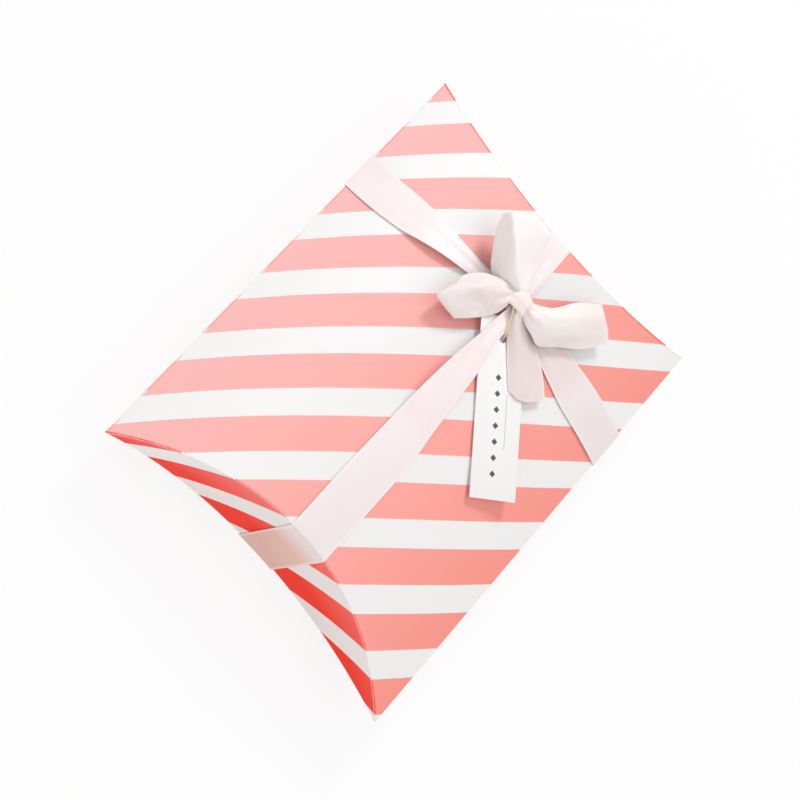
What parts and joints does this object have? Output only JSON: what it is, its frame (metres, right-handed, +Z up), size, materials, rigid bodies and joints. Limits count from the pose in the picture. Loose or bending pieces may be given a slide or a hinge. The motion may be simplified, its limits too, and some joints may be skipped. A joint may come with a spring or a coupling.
{
  "type": "pillow favor box",
  "caption": "Pillow-shaped card favor box with curved tuck-in end flaps, tied crosswise with a ribbon bow and a small swing tag.",
  "frame": {"origin": "centre of the whole object's outline, on the surface the box rests on", "axes": "+X along the box towards the bow's end, +Y across the box, +Z up"},
  "size_m": [0.175, 0.127, 0.051],
  "materials": {
    "printed_card": "smooth card with broad salmon pink and white slanting stripes",
    "plain_card": "unprinted white card",
    "ribbon": "soft cream satin ribbon",
    "tag_card": "matt white card",
    "thread": "twisted gold-coloured thread"
  },
  "bodies": {
    "box": {"front_panel": "printed_card", "back_panel": "printed_card", "seam_flap": "plain_card", "near_band": "ribbon", "back_band": "ribbon", "far_band": "ribbon", "upper_cross_band": "ribbon", "lower_cross_band": "ribbon", "back_cross_band": "ribbon", "knot": "ribbon", "upper_loop": "ribbon", "left_loop": "ribbon", "right_loop": "ribbon", "tail": "ribbon", "tag_thread": "thread"},
    "near_outer": {"near_outer_flap": "printed_card", "near_end_band": "ribbon"},
    "near_inner": {"near_inner_flap": "plain_card"},
    "far_outer": {"far_outer_flap": "printed_card", "far_end_band": "ribbon"},
    "far_inner": {"far_inner_flap": "plain_card"},
    "tag": {"tag": "tag_card"}
  },
  "joints": [
    {"name": "near_outer_hinge", "type": "hinge", "parent": "box", "child": "near_outer", "pos_m": [-0.07, 0, 0.03588], "axis": [0, 1, 0], "range_deg": [0, 90]},
    {"name": "far_outer_hinge", "type": "hinge", "parent": "box", "child": "far_outer", "pos_m": [0.07, 0, 0.03588], "axis": [0, -1, 0], "range_deg": [0, 90]},
    {"name": "near_inner_hinge", "type": "hinge", "parent": "box", "child": "near_inner", "pos_m": [-0.06885, 0, 0.00158], "axis": [0, 1, 0], "range_deg": [0, 75]},
    {"name": "far_inner_hinge", "type": "hinge", "parent": "box", "child": "far_inner", "pos_m": [0.06885, 0, 0.00158], "axis": [0, -1, 0], "range_deg": [0, 75]},
    {"name": "tag_swing", "type": "hinge", "parent": "box", "child": "tag", "pos_m": [0.0283, -0.00611, 0.03703], "axis": [0, -0.1496, 0.9888], "range_deg": [-6, 6]}
  ]
}
